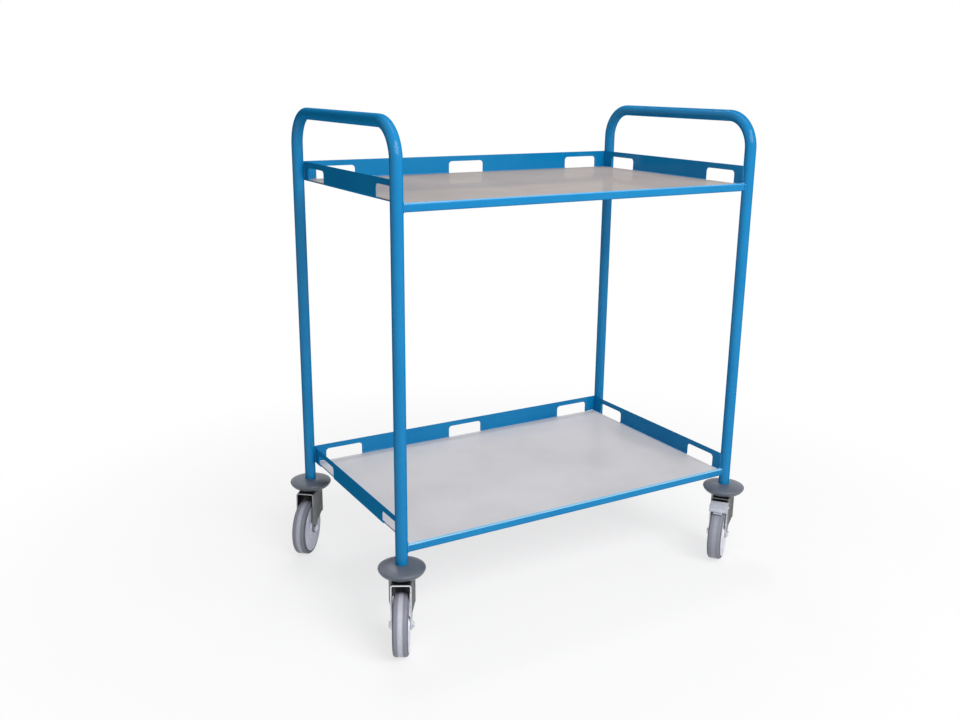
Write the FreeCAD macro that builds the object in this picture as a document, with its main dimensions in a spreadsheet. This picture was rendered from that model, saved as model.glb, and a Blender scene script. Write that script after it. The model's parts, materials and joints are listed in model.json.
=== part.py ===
import FreeCAD, Part
import math
import os

import Sketcher

# Two-shelf service cart: two bent-tube end hoops carry two trays on four swivel castors.
# Millimetres, +X along the length, +Y towards the high rear rim, +Z up.
# The origin is on the floor, midway between the four posts.

SIZES = {
    # end hoops; the handle's height is above the upper board
    "post_spacing_x": 860.0,
    "post_spacing_y": 510.0,
    "tube_diameter": 25.0,
    "tube_wall": 2.0,
    "handle_height": 145.0,
    "handle_bend_radius": 70.0,
    # trays; the lower board's height is above the tubes' feet, the upper board's above the lower board
    "lower_board_height": 44.0,
    "upper_board_height": 677.0,
    "tray_overhang": 5.0,
    "weld_gap": 0.1,
    "sheet_thickness": 1.5,
    "rim_height": 39.5,
    "rim_bend_radius": 6.0,
    "rim_flange_width": 25.0,
    "slot_top": 27.0,
    "slot_corner_radius": 8.0,
    "rear_slot_length": 94.0,
    "side_slot_length": 90.0,
    "rear_slot_pitch": 339.0,
    "side_slot_pitch": 360.0,
    "rail_height": 17.0,
    "rail_depth": 10.0,
    "rail_lip": 1.5,
    "rail_corner_radius": 4.0,
    "board_thickness": 2.0,
    "board_clearance": 0.2,
    "stiffener_width": 40.0,
    "stiffener_depth": 10.0,
    "stiffener_pitch": 280.0,
    # bumper discs and tube plugs; the base's height is above the fork, the other heights above the base
    "bumper_diameter": 97.0,
    "bumper_base_diameter": 70.0,
    "bumper_base_height": 2.0,
    "bumper_edge_height": 13.0,
    "bumper_edge_radius": 3.5,
    "bumper_seat_height": 16.0,
    "bumper_crown_height": 22.5,
    "bumper_collar_diameter": 32.0,
    "bumper_belly_radius": 18.0,
    "bumper_dome_radius": 75.0,
    "bumper_head_gap": 1.5,
    "plug_length": 40.0,
    # swivel heads; the head's height is above the fork
    "head_height": 11.0,
    "stem_diameter": 10.0,
    "stem_grip": 30.0,
    "stem_flange_diameter": 22.0,
    "stem_flange_thickness": 2.0,
    "stem_head_across": 17.0,
    "stem_head_height": 6.0,
    "swivel_clearance": 0.3,
    "seat_fit": 0.05,
    "running_fit": 0.1,
    "ball_diameter": 6.0,
    "ball_count": 14,
    "ball_pitch_diameter": 35.0,
    "race_bore": 22.0,
    "race_diameter": 46.0,
    "race_height": 3.0,
    "race_gap": 2.0,
    "skirt_gap": 0.6,
    "skirt_wall": 2.4,
    "skirt_lift": 1.2,
    # forks; the top's height is above the tyre, the inner width beyond the hub's, the tail beyond the axle
    "trail": 43.0,
    "fork_top_height": 25.0,
    "fork_inner_width": 1.5,
    "fork_crown_width": 54.0,
    "fork_sheet": 2.8,
    "fork_bend_radius": 5.0,
    "fork_lead_depth": 54.0,
    "fork_knee_reach": 3.0,
    "fork_knee_depth": 61.0,
    "fork_flare_start": 18.0,
    "fork_tail_reach": 3.0,
    "braked_tail_reach": -1.0,
    "axle_boss_radius": 10.0,
    # wheels; the hub's width is beyond the tread's
    "wheel_diameter": 125.0,
    "tread_width": 31.0,
    "tyre_depth": 8.0,
    "tyre_shoulder_radius": 6.0,
    "hub_width": 4.0,
    "hub_boss_diameter": 30.0,
    "hub_web": 28.0,
    "hub_rim_depth": 5.0,
    "sleeve_diameter": 14.0,
    "axle_diameter": 10.0,
    "axle_head_across": 14.0,
    "axle_head_height": 4.0,
    "axle_end": 1.5,
    # brake pedals; heights are above the tyre, reaches beyond the axle
    "pedal_pin_reach": 7.0,
    "pedal_pin_height": 7.0,
    "pedal_pin_diameter": 6.0,
    "pedal_pin_end": 1.5,
    "pedal_side_gap": 0.6,
    "pedal_sheet": 2.2,
    "pedal_back_reach": 2.0,
    "pedal_back_height": 18.0,
    "pedal_front_reach": 25.0,
    "pedal_front_height": 4.0,
    "pedal_lip": 5.0,
    "pedal_cheek_margin": 5.0,
    "toe_tab_width": 20.0,
    "toe_tab_reach": 6.5,
    "toe_tab_drop": 2.3,
    "pedal_arm_gap": 0.9,
    # swivel angles at rest, from +X to the side on which the wheel trails
    "front_left_swivel": -118.5,
    "front_right_swivel": -141.6,
    "rear_left_swivel": -129.4,
    "rear_right_swivel": 54.0,
}

CASTORS = {
    # name: side along X, side along Y, has a brake
    "front_left": (-1, -1, False),
    "rear_left": (-1, 1, False),
    "front_right": (1, -1, True),
    "rear_right": (1, 1, True),
}

document = FreeCAD.newDocument("service_cart")
sheet = document.addObject("Spreadsheet::Sheet", "sizes")
for row, (alias, number) in enumerate(SIZES.items(), start=1):
    sheet.set("A%d" % row, alias)
    sheet.set("B%d" % row, str(number))
    sheet.setAlias("B%d" % row, alias)
document.recompute()

finished = []


class Size:
    """A formula on the sheet's cells, with its present value."""

    def __init__(self, text, value):
        self.text = text
        self.value = value

    @staticmethod
    def of(other):
        """The same thing as a Size, also where it is a plain number."""
        if isinstance(other, Size):
            return other
        return Size("(%r)" % float(other), float(other))

    def __add__(self, other):
        other = Size.of(other)
        return Size("(%s + %s)" % (self.text, other.text), self.value + other.value)

    def __sub__(self, other):
        other = Size.of(other)
        return Size("(%s - %s)" % (self.text, other.text), self.value - other.value)

    def __mul__(self, other):
        other = Size.of(other)
        return Size("(%s * %s)" % (self.text, other.text), self.value * other.value)

    def __truediv__(self, other):
        other = Size.of(other)
        return Size("(%s / %s)" % (self.text, other.text), self.value / other.value)

    def __neg__(self):
        return self * -1

    def __rsub__(self, other):
        return Size.of(other) - self

    __radd__ = __add__
    __rmul__ = __mul__

    def root(self):
        """The square root."""
        return Size("sqrt(%s)" % self.text, math.sqrt(self.value))


def cell(alias):
    """The sheet's cell with this alias."""
    return Size("sizes." + alias, float(sheet.get(alias)))


def bind(item, path, size):
    """Ties one setting of an object to a formula."""
    item.setExpression(path, Size.of(size).text)


def place(item, x=0.0, y=0.0, z=0.0, turn=None):
    """Ties an object's place to formulas, with a turn about +Z."""
    for axis, size in zip("xyz", (x, y, z)):
        bind(item, ".Placement.Base." + axis, size)
    if turn is not None:
        bind(item, ".Placement.Rotation.Angle", turn)


def keep(item, label):
    """Names a finished sub-part."""
    item.Label = label
    finished.append(item)
    return item


def new_body(name):
    """An empty body."""
    return document.addObject("PartDesign::Body", name)


def sketch_on(body, role, lift=(0.0, 0.0, 0.0)):
    """A new sketch on one of the body's own origin planes, moved by lift in the plane's axes."""
    plane = next(item for item in body.Origin.OriginFeatures if item.Role == role)
    sketch = body.newObject("Sketcher::SketchObject", "outline")
    sketch.AttachmentSupport = [(plane, "")]
    sketch.MapMode = "FlatFace"
    for axis, size in zip("xyz", lift):
        bind(sketch, ".AttachmentOffset.Base." + axis, size)
    return sketch


def hold(sketch, kind, references, size):
    """Adds a sketch dimension tied to a formula."""
    number = sketch.addConstraint(Sketcher.Constraint(kind, *references, size.value))
    sketch.setExpression("Constraints[%d]" % number, size.text)


def hold_point(sketch, geometry, end, x, y):
    """Ties one point of a sketch to its two coordinates."""
    hold(sketch, "DistanceX", (-1, 1, geometry, end), x)
    hold(sketch, "DistanceY", (-1, 1, geometry, end), y)


def towards(start, goal):
    """The unit direction along an axis from one corner to the next."""
    dx = goal[0].value - start[0].value
    dy = goal[1].value - start[1].value
    if abs(dx) > abs(dy):
        return math.copysign(1, dx), 0
    return 0, math.copysign(1, dy)


def bulge_centre(start, goal, radius):
    """Centre of the arc between two points that bulges right of travel, or left if radius is below 0."""
    ax, ay = start[0].value, start[1].value
    bx, by = goal[0].value, goal[1].value
    half = math.hypot(bx - ax, by - ay) / 2
    rise = math.copysign(math.sqrt(max(radius.value ** 2 - half ** 2, 0)), radius.value)
    return (ax + bx) / 2 - rise * (by - ay) / (2 * half), (ay + by) / 2 + rise * (bx - ax) / (2 * half)


def rounded(corners, arcs):
    """Spreads corners (x, y) or (x, y, radius) into points and, for the edge after each, its arc or None."""
    corners = [tuple(Size.of(value) for value in corner) for corner in corners]
    points = []
    edges = []
    for index, corner in enumerate(corners):
        following = corners[(index + 1) % len(corners)]
        if len(corner) == 3:
            x, y, radius = corner
            ux, uy = towards(corner, corners[index - 1])
            vx, vy = towards(corner, following)
            points.append((x + radius * ux, y + radius * uy))
            centre = (x + radius * (ux + vx), y + radius * (uy + vy))
            edges.append((radius, (centre[0].value, centre[1].value)))
            points.append((x + radius * vx, y + radius * vy))
        else:
            points.append(corner)
        if index in arcs:
            bulge = Size.of(arcs[index])
            edges.append((bulge if bulge.value > 0 else -bulge, bulge_centre(points[-1], following, bulge)))
        else:
            edges.append(None)
    return points, edges


def draw(sketch, corners, arcs=None):
    """Draws one closed outline whose corners are tied to formulas.

    A corner (x, y, radius) is square and rounded. arcs gives, by corner, the radius of an arc to the next.
    """
    points, edges = rounded(corners, arcs or {})
    first = sketch.GeometryCount
    ends = []
    for index, edge in enumerate(edges):
        a = FreeCAD.Vector(points[index][0].value, points[index][1].value, 0)
        following = points[(index + 1) % len(points)]
        b = FreeCAD.Vector(following[0].value, following[1].value, 0)
        if edge is None:
            sketch.addGeometry(Part.LineSegment(a, b))
            ends.append((1, 2))
            continue
        radius, centre = edge
        middle = FreeCAD.Vector(centre[0], centre[1], 0)
        forward = (a - middle).cross(b - middle).z > 0
        start, stop = (a, b) if forward else (b, a)
        from_angle = math.atan2(start.y - middle.y, start.x - middle.x)
        to_angle = math.atan2(stop.y - middle.y, stop.x - middle.x)
        circle = Part.Circle(middle, FreeCAD.Vector(0, 0, 1), radius.value)
        sketch.addGeometry(Part.ArcOfCircle(circle, from_angle, to_angle))
        ends.append((1, 2) if forward else (2, 1))
    for index, edge in enumerate(edges):
        following = (index + 1) % len(edges)
        join = (first + index, ends[index][1], first + following, ends[following][0])
        sketch.addConstraint(Sketcher.Constraint("Coincident", *join))
        hold_point(sketch, first + index, ends[index][0], *points[index])
        if edge is not None:
            hold(sketch, "Radius", (first + index,), edge[0])
    return sketch


def draw_circle(sketch, x, y, radius):
    """Draws a circle tied to formulas."""
    x, y, radius = Size.of(x), Size.of(y), Size.of(radius)
    centre = FreeCAD.Vector(x.value, y.value, 0)
    number = sketch.addGeometry(Part.Circle(centre, FreeCAD.Vector(0, 0, 1), radius.value))
    hold_point(sketch, number, 3, x, y)
    hold(sketch, "Radius", (number,), radius)
    return sketch


def draw_hexagon(sketch, x, y, across):
    """Draws a hexagon of this width across its flats."""
    reach = across / math.sqrt(3)
    turns = [math.radians(60 * step) for step in range(6)]
    return draw(sketch, [(x + reach * math.cos(turn), y + reach * math.sin(turn)) for turn in turns])


def pad(body, sketch, length, both_ways=False, backwards=False):
    """Extrudes a sketch along its normal, half to each side, or backwards."""
    feature = body.newObject("PartDesign::Pad", "pad")
    feature.Profile = sketch
    feature.SideType = "Symmetric" if both_ways else "One side"
    feature.Reversed = backwards
    bind(feature, "Length", length)
    return feature


def pocket(body, sketch, length, both_ways=False):
    """Cuts a sketch's outlines against its normal, or half to each side, and makes sure something goes."""
    document.recompute()
    before = body.Shape.Volume
    feature = body.newObject("PartDesign::Pocket", "pocket")
    feature.Profile = sketch
    feature.SideType = "Symmetric" if both_ways else "One side"
    bind(feature, "Length", length)
    document.recompute()
    if body.Shape.Volume > before - 1:
        raise RuntimeError("a pocket of %s cuts nothing" % body.Name)
    return feature


def revolve(body, sketch):
    """Turns a sketch fully about its own vertical axis."""
    feature = body.newObject("PartDesign::Revolution", "turned")
    feature.Profile = sketch
    feature.ReferenceAxis = (sketch, ["V_Axis"])
    feature.Angle = 360
    return feature


def boolean(kind, base, tool):
    """A cut, fuse or common of two objects."""
    result = document.addObject("Part::" + kind, kind.lower())
    result.Base = base
    result.Tool = tool
    return result


def group(name, members):
    """Separate solids that share one node."""
    result = document.addObject("Part::Compound", name)
    result.Links = members
    return result


# Sizes that several sub-parts share
half_x = cell("post_spacing_x") / 2
half_y = cell("post_spacing_y") / 2
tube_radius = cell("tube_diameter") / 2
tube_bore = tube_radius - cell("tube_wall")
tray_half_x = half_x - tube_radius - cell("weld_gap")
tray_half_y = half_y + cell("tray_overhang")
tray_front = tray_half_y - cell("rail_depth")
tray_rear = tray_half_y - cell("sheet_thickness")
flange_top = -cell("board_thickness")
flange_low = flange_top - cell("sheet_thickness")
stem_radius = cell("stem_diameter") / 2
axle_radius = cell("axle_diameter") / 2
axle_height = cell("wheel_diameter") / 2
tyre_top = cell("wheel_diameter")
hub_width = cell("tread_width") + cell("hub_width")
fork_inner_width = hub_width + cell("fork_inner_width")
fork_width = fork_inner_width + cell("fork_sheet") * 2
fork_tail = cell("trail") + cell("axle_boss_radius")
fork_top = tyre_top + cell("fork_top_height")
fork_floor = fork_top - cell("fork_sheet")
head_top = fork_top + cell("head_height")
skirt_bore = cell("race_diameter") / 2 + cell("skirt_gap")
head_outside = skirt_bore + cell("skirt_wall")
bumper_base = fork_top + cell("bumper_base_height")
bumper_seat = bumper_base + cell("bumper_seat_height")
lower_board_top = bumper_seat + cell("lower_board_height")
board_tops = {"lower": lower_board_top, "upper": lower_board_top + cell("upper_board_height")}
ball_height = fork_top + cell("race_height") + cell("race_gap") / 2
groove_radius = cell("ball_diameter") / 2 + cell("running_fit")
groove_reach = (groove_radius * groove_radius - cell("race_gap") * cell("race_gap") / 4).root()
pin_radius = cell("pedal_pin_diameter") / 2
pin_reach = cell("trail") + cell("pedal_pin_reach")
pin_height = tyre_top + cell("pedal_pin_height")
pedal_back = cell("trail") + cell("pedal_back_reach")
pedal_front = cell("trail") + cell("pedal_front_reach")
pedal_back_height = tyre_top + cell("pedal_back_height")
pedal_front_height = tyre_top + cell("pedal_front_height")
pedal_slope = (pedal_back_height - pedal_front_height) / (pedal_front - pedal_back)
CUT_MARGIN = 1.0


def end_hoop(label, side):
    """A bent tube: two legs and the hand grip between them, from the bumper's seat upwards."""
    body = new_body(label)
    rise = board_tops["upper"] + cell("handle_height") - bumper_seat
    bend = cell("handle_bend_radius")
    route = sketch_on(body, "YZ_Plane")
    spots = [
        (-half_y, Size.of(0)),
        (-half_y, rise - bend),
        (bend - half_y, rise),
        (half_y - bend, rise),
        (half_y, rise - bend),
        (half_y, Size.of(0)),
    ]
    vectors = [FreeCAD.Vector(y.value, z.value, 0) for y, z in spots]
    for start in (0, 2, 4):
        number = route.addGeometry(Part.LineSegment(vectors[start], vectors[start + 1]))
        hold_point(route, number, 1, *spots[start])
        hold_point(route, number, 2, *spots[start + 1])
    for number, (line, way, from_angle) in enumerate(((0, 1, 90), (1, -1, 0)), start=3):
        middle = FreeCAD.Vector(way * (bend.value - half_y.value), rise.value - bend.value, 0)
        circle = Part.Circle(middle, FreeCAD.Vector(0, 0, 1), bend.value)
        arc = Part.ArcOfCircle(circle, math.radians(from_angle), math.radians(from_angle + 90))
        route.addGeometry(arc)
        route.addConstraint(Sketcher.Constraint("Coincident", line, 2, number, 2))
        route.addConstraint(Sketcher.Constraint("Coincident", line + 1, 1, number, 1))
        hold(route, "Radius", (number,), bend)
    section = sketch_on(body, "XY_Plane")
    draw_circle(section, 0, -half_y, tube_radius)
    draw_circle(section, 0, -half_y, tube_bore)
    tube = body.newObject("PartDesign::AdditivePipe", "tube")
    tube.Profile = section
    tube.Spine = (route, [""])
    place(body, half_x * side, 0, bumper_seat)
    keep(body, label)


def folded_rim(label, reach_back, reach_ahead, slots, slot_length, end_notches):
    """An upright strip with a flange folded in under the board, slotted through the fold.

    Its outer face is at y = 0 and the board's top at z = 0. It runs along X from -reach_back to reach_ahead.
    """
    body = new_body(label)
    strip = cell("sheet_thickness")
    bend = cell("rim_bend_radius")
    section = sketch_on(body, "YZ_Plane", (0, 0, -reach_back))
    draw(section, [
        (0, cell("rim_height")),
        (0, flange_low, bend),
        (cell("rim_flange_width"), flange_low),
        (cell("rim_flange_width"), flange_top),
        (strip, flange_top, bend - strip),
        (strip, cell("rim_height")),
    ])
    pad(body, section, reach_back + reach_ahead)
    openings = sketch_on(body, "XZ_Plane")
    for middle in slots:
        draw(openings, [
            (middle - slot_length / 2, flange_low - CUT_MARGIN),
            (middle + slot_length / 2, flange_low - CUT_MARGIN),
            (middle + slot_length / 2, cell("slot_top"), cell("slot_corner_radius")),
            (middle - slot_length / 2, cell("slot_top"), cell("slot_corner_radius")),
        ])
    pocket(body, openings, bend)
    if end_notches:
        corners = sketch_on(body, "XZ_Plane", (0, 0, -strip))
        inner = reach_ahead - cell("rim_flange_width") - cell("weld_gap")
        for way in (-1, 1):
            draw(corners, [
                (inner * way, flange_low - CUT_MARGIN),
                ((reach_ahead + CUT_MARGIN) * way, flange_low - CUT_MARGIN),
                ((reach_ahead + CUT_MARGIN) * way, flange_low + bend),
                (inner * way, flange_low + bend),
            ])
        pocket(body, corners, cell("rim_flange_width"))
    return keep(body, label)


def front_rail(label, height):
    """A low rounded box tube between the front posts, a little prouder than the board."""
    body = new_body(label)
    wall = cell("sheet_thickness")
    top = cell("rail_lip")
    low = top - cell("rail_height")
    deep = cell("rail_depth")
    section = sketch_on(body, "YZ_Plane")
    for inset in (Size.of(0), wall):
        radius = cell("rail_corner_radius") - inset
        draw(section, [
            (inset, low + inset, radius),
            (deep - inset, low + inset, radius),
            (deep - inset, top - inset, radius),
            (inset, top - inset, radius),
        ])
    pad(body, section, tray_half_x * 2, both_ways=True)
    place(body, 0, -tray_half_y, height)
    keep(body, label)


def shelf_board(label, height):
    """The flat board, lying on the rims' flanges just clear of their folds."""
    edge = cell("rim_bend_radius") + cell("board_clearance")
    front = tray_front - cell("board_clearance")
    board = document.addObject("Part::Box", label)
    bind(board, "Length", (tray_half_x - edge) * 2)
    bind(board, "Width", tray_half_y - edge + front)
    bind(board, "Height", cell("board_thickness"))
    place(board, edge - tray_half_x, -front, height + flange_top)
    keep(board, label)


def shelf_stiffeners(label, height):
    """Three channels under the board, from the front rail to the rear rim's flange."""
    body = new_body(label)
    wall = cell("sheet_thickness")
    low = flange_top - cell("stiffener_depth")
    wide = cell("stiffener_width") / 2
    rear = tray_half_y - cell("rim_flange_width")
    section = sketch_on(body, "XZ_Plane", (0, 0, -rear))
    for step in (-1, 0, 1):
        middle = cell("stiffener_pitch") * step
        draw(section, [
            (middle - wide, low),
            (middle - wide + wall, low),
            (middle - wide + wall, flange_top - wall),
            (middle + wide - wall, flange_top - wall),
            (middle + wide - wall, low),
            (middle + wide, low),
            (middle + wide, flange_top),
            (middle - wide, flange_top),
        ])
    pad(body, section, rear + tray_front)
    place(body, 0, 0, height)
    keep(body, label)


def shelf(name):
    """One tray: three rims, the front rail, the board and its stiffeners."""
    height = board_tops[name]
    rear_slots = [cell("rear_slot_pitch") * step for step in (-1, 0, 1)]
    side_slots = [cell("side_slot_pitch") * step for step in (-0.5, 0.5)]
    slot = cell("side_slot_length")
    rear_slot = cell("rear_slot_length")
    rear = folded_rim(name + "_rear_rim", tray_half_x, tray_half_x, rear_slots, rear_slot, True)
    place(rear, 0, tray_half_y, height, 180)
    left = folded_rim(name + "_left_rim", tray_rear, tray_front, side_slots, slot, False)
    place(left, -tray_half_x, 0, height, -90)
    right = folded_rim(name + "_right_rim", tray_front, tray_rear, side_slots, slot, False)
    place(right, tray_half_x, 0, height, 90)
    front_rail(name + "_front_rail", height)
    shelf_board(name + "_board", height)
    shelf_stiffeners(name + "_stiffeners", height)


def bumper_disc(label):
    """A bowl-shaped disc over the swivel head, with a seat for the tube's foot."""
    body = new_body(label)
    bore = stem_radius + cell("seat_fit")
    seat = tube_radius + cell("seat_fit")
    hollow = head_outside + cell("bumper_head_gap")
    edge = cell("bumper_edge_radius")
    edge_turn = math.radians(60)
    rim = cell("bumper_diameter") / 2
    middle = bumper_base + cell("bumper_edge_height")
    crown = bumper_base + cell("bumper_crown_height")
    outline = sketch_on(body, "XZ_Plane")
    draw(outline, [
        (bore, head_top),
        (hollow, head_top),
        (hollow, bumper_base),
        (cell("bumper_base_diameter") / 2, bumper_base),
        (rim, middle),
        (rim - edge * (1 - math.cos(edge_turn)), middle + edge * math.sin(edge_turn)),
        (cell("bumper_collar_diameter") / 2, crown),
        (seat, crown),
        (seat, bumper_seat),
        (bore, bumper_seat),
    ], arcs={3: cell("bumper_belly_radius"), 4: edge, 5: cell("bumper_dome_radius")})
    revolve(body, outline)
    return body


def tube_plug(label):
    """A threaded plug inside the tube's foot."""
    outer = document.addObject("Part::Cylinder", label + "_outside")
    bind(outer, "Radius", tube_bore - cell("seat_fit"))
    bind(outer, "Height", cell("plug_length"))
    bore = document.addObject("Part::Cylinder", label + "_bore")
    bind(bore, "Radius", stem_radius + cell("seat_fit"))
    bind(bore, "Height", cell("plug_length"))
    for item in (outer, bore):
        place(item, 0, 0, bumper_seat)
    return boolean("Cut", outer, bore)


def stem_bolt(label):
    """The flanged bolt that holds the fork, the swivel head and the bumper to the tube's plug."""
    body = new_body(label)
    top = fork_floor - cell("swivel_clearance")
    low = top - cell("stem_flange_thickness")
    flange = cell("stem_flange_diameter") / 2
    end = bumper_seat + cell("stem_grip")
    outline = sketch_on(body, "XZ_Plane")
    draw(outline, [
        (0, low),
        (flange, low),
        (flange, top),
        (stem_radius, top),
        (stem_radius, end),
        (0, end),
    ])
    revolve(body, outline)
    head = sketch_on(body, "XY_Plane", (0, 0, low))
    draw_hexagon(head, 0, 0, cell("stem_head_across"))
    pad(body, head, cell("stem_head_height"), backwards=True)
    return body


def swivel_head(label):
    """The fixed upper ball race, with a skirt around the fork's race."""
    body = new_body(label)
    bore = stem_radius + cell("seat_fit")
    face = ball_height + cell("race_gap") / 2
    pitch = cell("ball_pitch_diameter") / 2
    skirt_end = fork_top + cell("skirt_lift")
    outline = sketch_on(body, "XZ_Plane")
    draw(outline, [
        (bore, face),
        (pitch - groove_reach, face),
        (pitch + groove_reach, face),
        (skirt_bore, face),
        (skirt_bore, skirt_end),
        (head_outside, skirt_end),
        (head_outside, head_top, cell("skirt_wall")),
        (bore, head_top),
    ], arcs={1: -groove_radius})
    revolve(body, outline)
    return body


def swivel_balls(label):
    """The ring of balls between the two races."""
    count = int(sheet.get("ball_count"))
    balls = []
    for step in range(count):
        turn = 2 * math.pi * step / count
        ball = document.addObject("Part::Sphere", "ball")
        bind(ball, "Radius", cell("ball_diameter") / 2)
        pitch = cell("ball_pitch_diameter") / 2
        place(ball, pitch * math.cos(turn), pitch * math.sin(turn), ball_height)
        balls.append(ball)
    return group(label, balls)


def under_pedal(reach, depth):
    """The height at this depth under the pedal's sloping top."""
    return pedal_back_height - pedal_slope * (reach - pedal_back) - depth


def fork_channel():
    """The folded channel of the fork, flared towards the swivel."""
    body = new_body("channel")
    top = fork_top
    low = axle_height - cell("axle_boss_radius") - CUT_MARGIN
    bend = cell("fork_bend_radius")
    metal = cell("fork_sheet")

    def section(reach, width):
        side = width / 2
        return draw(sketch_on(body, "YZ_Plane", (0, 0, reach)), [
            (-side, low),
            (metal - side, low),
            (metal - side, top - metal, bend - metal),
            (side - metal, top - metal, bend - metal),
            (side - metal, low),
            (side, low),
            (side, top, bend),
            (-side, top, bend),
        ])

    pad(body, section(cell("fork_flare_start"), fork_width), fork_tail - cell("fork_flare_start"))
    loft = body.newObject("PartDesign::AdditiveLoft", "flare")
    loft.Profile = section(cell("fork_flare_start"), fork_width)
    loft.Sections = [section(Size.of(0), cell("fork_crown_width"))]
    loft.Ruled = True
    return body


def fork_cap():
    """The round leading wall of the fork, which joins its arms under the swivel."""
    body = new_body("cap")
    metal = cell("fork_sheet")
    bend = cell("fork_bend_radius")
    reach = cell("fork_crown_width") / 2
    low = axle_height - cell("axle_boss_radius") - CUT_MARGIN
    revolve(body, draw(sketch_on(body, "XZ_Plane"), [
        (0, fork_floor),
        (reach - metal, fork_floor, bend - metal),
        (reach - metal, low),
        (reach, low),
        (reach, fork_top, bend),
        (0, fork_top),
    ]))
    leading_half = document.addObject("Part::Box", "leading_half")
    bind(leading_half, "Length", reach + CUT_MARGIN)
    bind(leading_half, "Width", (reach + CUT_MARGIN) * 2)
    bind(leading_half, "Height", fork_top)
    place(leading_half, -reach - CUT_MARGIN, -reach - CUT_MARGIN, 0)
    return boolean("Common", body, leading_half)


def fork_side(braked):
    """The fork's side outline: deep under the swivel, round at the axle, and low under a pedal's plate."""
    body = new_body("side")
    trail = cell("trail")
    boss = cell("axle_boss_radius")
    front = -cell("fork_crown_width") / 2 - CUT_MARGIN
    slant = math.sqrt(0.5)
    corners = [
        (front, fork_top),
        (front, fork_top - cell("fork_lead_depth")),
        (cell("fork_knee_reach"), fork_top - cell("fork_knee_depth")),
        (trail - boss * slant, axle_height - boss * slant),
        (fork_tail, axle_height),
    ]
    if braked:
        depth = cell("pedal_sheet") + cell("pedal_arm_gap")
        step = pedal_back - cell("pedal_arm_gap")
        corners.append((fork_tail, under_pedal(fork_tail, depth)))
        corners.append((step, under_pedal(step, depth)))
        corners.append((trail + cell("braked_tail_reach"), fork_top))
    else:
        corners.append((trail + cell("fork_tail_reach"), fork_top))
    outline = sketch_on(body, "XZ_Plane")
    draw(outline, corners, arcs={3: boss})
    pad(body, outline, cell("fork_crown_width") + CUT_MARGIN, both_ways=True)
    return body


def cross_bore(reach, height, radius):
    """A round tool across the fork, for its axle or pedal pin hole."""
    body = new_body("cross_bore")
    pad(body, draw_circle(sketch_on(body, "XZ_Plane"), reach, height, radius), fork_width * 2, both_ways=True)
    return body


def castor_fork(label, braked):
    """The castor's fork: folded pressing, lower ball race, and holes for stem, axle and pedal pin."""
    pressing = boolean("Fuse", fork_channel(), fork_cap())
    fork = boolean("Common", pressing, fork_side(braked))
    race = new_body(label + "_race")
    pitch = cell("ball_pitch_diameter") / 2
    face = ball_height - cell("race_gap") / 2
    outline = sketch_on(race, "XZ_Plane")
    draw(outline, [
        (cell("race_bore") / 2, fork_top),
        (cell("race_diameter") / 2, fork_top),
        (cell("race_diameter") / 2, face),
        (pitch + groove_reach, face),
        (pitch - groove_reach, face),
        (cell("race_bore") / 2, face),
    ], arcs={3: -groove_radius})
    revolve(race, outline)
    fork = boolean("Fuse", fork, race)
    stem_hole = document.addObject("Part::Cylinder", label + "_stem_hole")
    bind(stem_hole, "Radius", stem_radius + cell("running_fit"))
    bind(stem_hole, "Height", cell("fork_sheet") + CUT_MARGIN * 2)
    place(stem_hole, 0, 0, fork_floor - CUT_MARGIN)
    fork = boolean("Cut", fork, stem_hole)
    fork = boolean("Cut", fork, cross_bore(cell("trail"), axle_height, axle_radius + cell("seat_fit")))
    if braked:
        fork = boolean("Cut", fork, cross_bore(pin_reach, pin_height, pin_radius + cell("seat_fit")))
    return fork


def axle_bolt(label):
    """The axle bolt and its nut."""
    side = fork_width / 2
    head = cell("axle_head_height")
    trail = cell("trail")
    bolt = new_body("bolt")
    shank = draw_circle(sketch_on(bolt, "XZ_Plane", (0, 0, side)), trail, axle_height, axle_radius)
    pad(bolt, shank, fork_width + head + cell("axle_end"), backwards=True)
    across = cell("axle_head_across")
    hexagon = draw_hexagon(sketch_on(bolt, "XZ_Plane", (0, 0, side)), trail, axle_height, across)
    pad(bolt, hexagon, head)
    nut = new_body("nut")
    ring = draw_hexagon(sketch_on(nut, "XZ_Plane", (0, 0, -side)), trail, axle_height, across)
    draw_circle(ring, trail, axle_height, axle_radius + cell("seat_fit"))
    pad(nut, ring, head, backwards=True)
    return group(label, [bolt, nut])


def axle_sleeve(label):
    """The sleeve that the fork's arms clamp, and on which the hub turns."""
    body = new_body(label)
    ring = sketch_on(body, "XZ_Plane")
    draw_circle(ring, cell("trail"), axle_height, cell("sleeve_diameter") / 2)
    draw_circle(ring, cell("trail"), axle_height, axle_radius + cell("seat_fit"))
    pad(body, ring, fork_inner_width - cell("seat_fit") * 2, both_ways=True)
    return body


def wheel_sketch(body):
    """A sketch whose vertical axis is the wheel's own axis."""
    return sketch_on(body, "XY_Plane", (cell("trail"), 0, axle_height))


def wheel_hub(label):
    """A dished hub: boss, web and rim."""
    body = new_body(label)
    bore = cell("sleeve_diameter") / 2 + cell("running_fit")
    boss = cell("hub_boss_diameter") / 2
    rim = axle_height - cell("tyre_depth") - cell("seat_fit")
    bed = rim - cell("hub_rim_depth")
    wide = hub_width / 2
    web = cell("hub_web") / 2
    edge = cell("tread_width") / 2
    revolve(body, draw(wheel_sketch(body), [
        (bore, -wide),
        (boss, -wide),
        (boss, -web),
        (bed, -web),
        (bed, -edge),
        (rim, -edge),
        (rim, edge),
        (bed, edge),
        (bed, web),
        (boss, web),
        (boss, wide),
        (bore, wide),
    ]))
    return body


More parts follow.
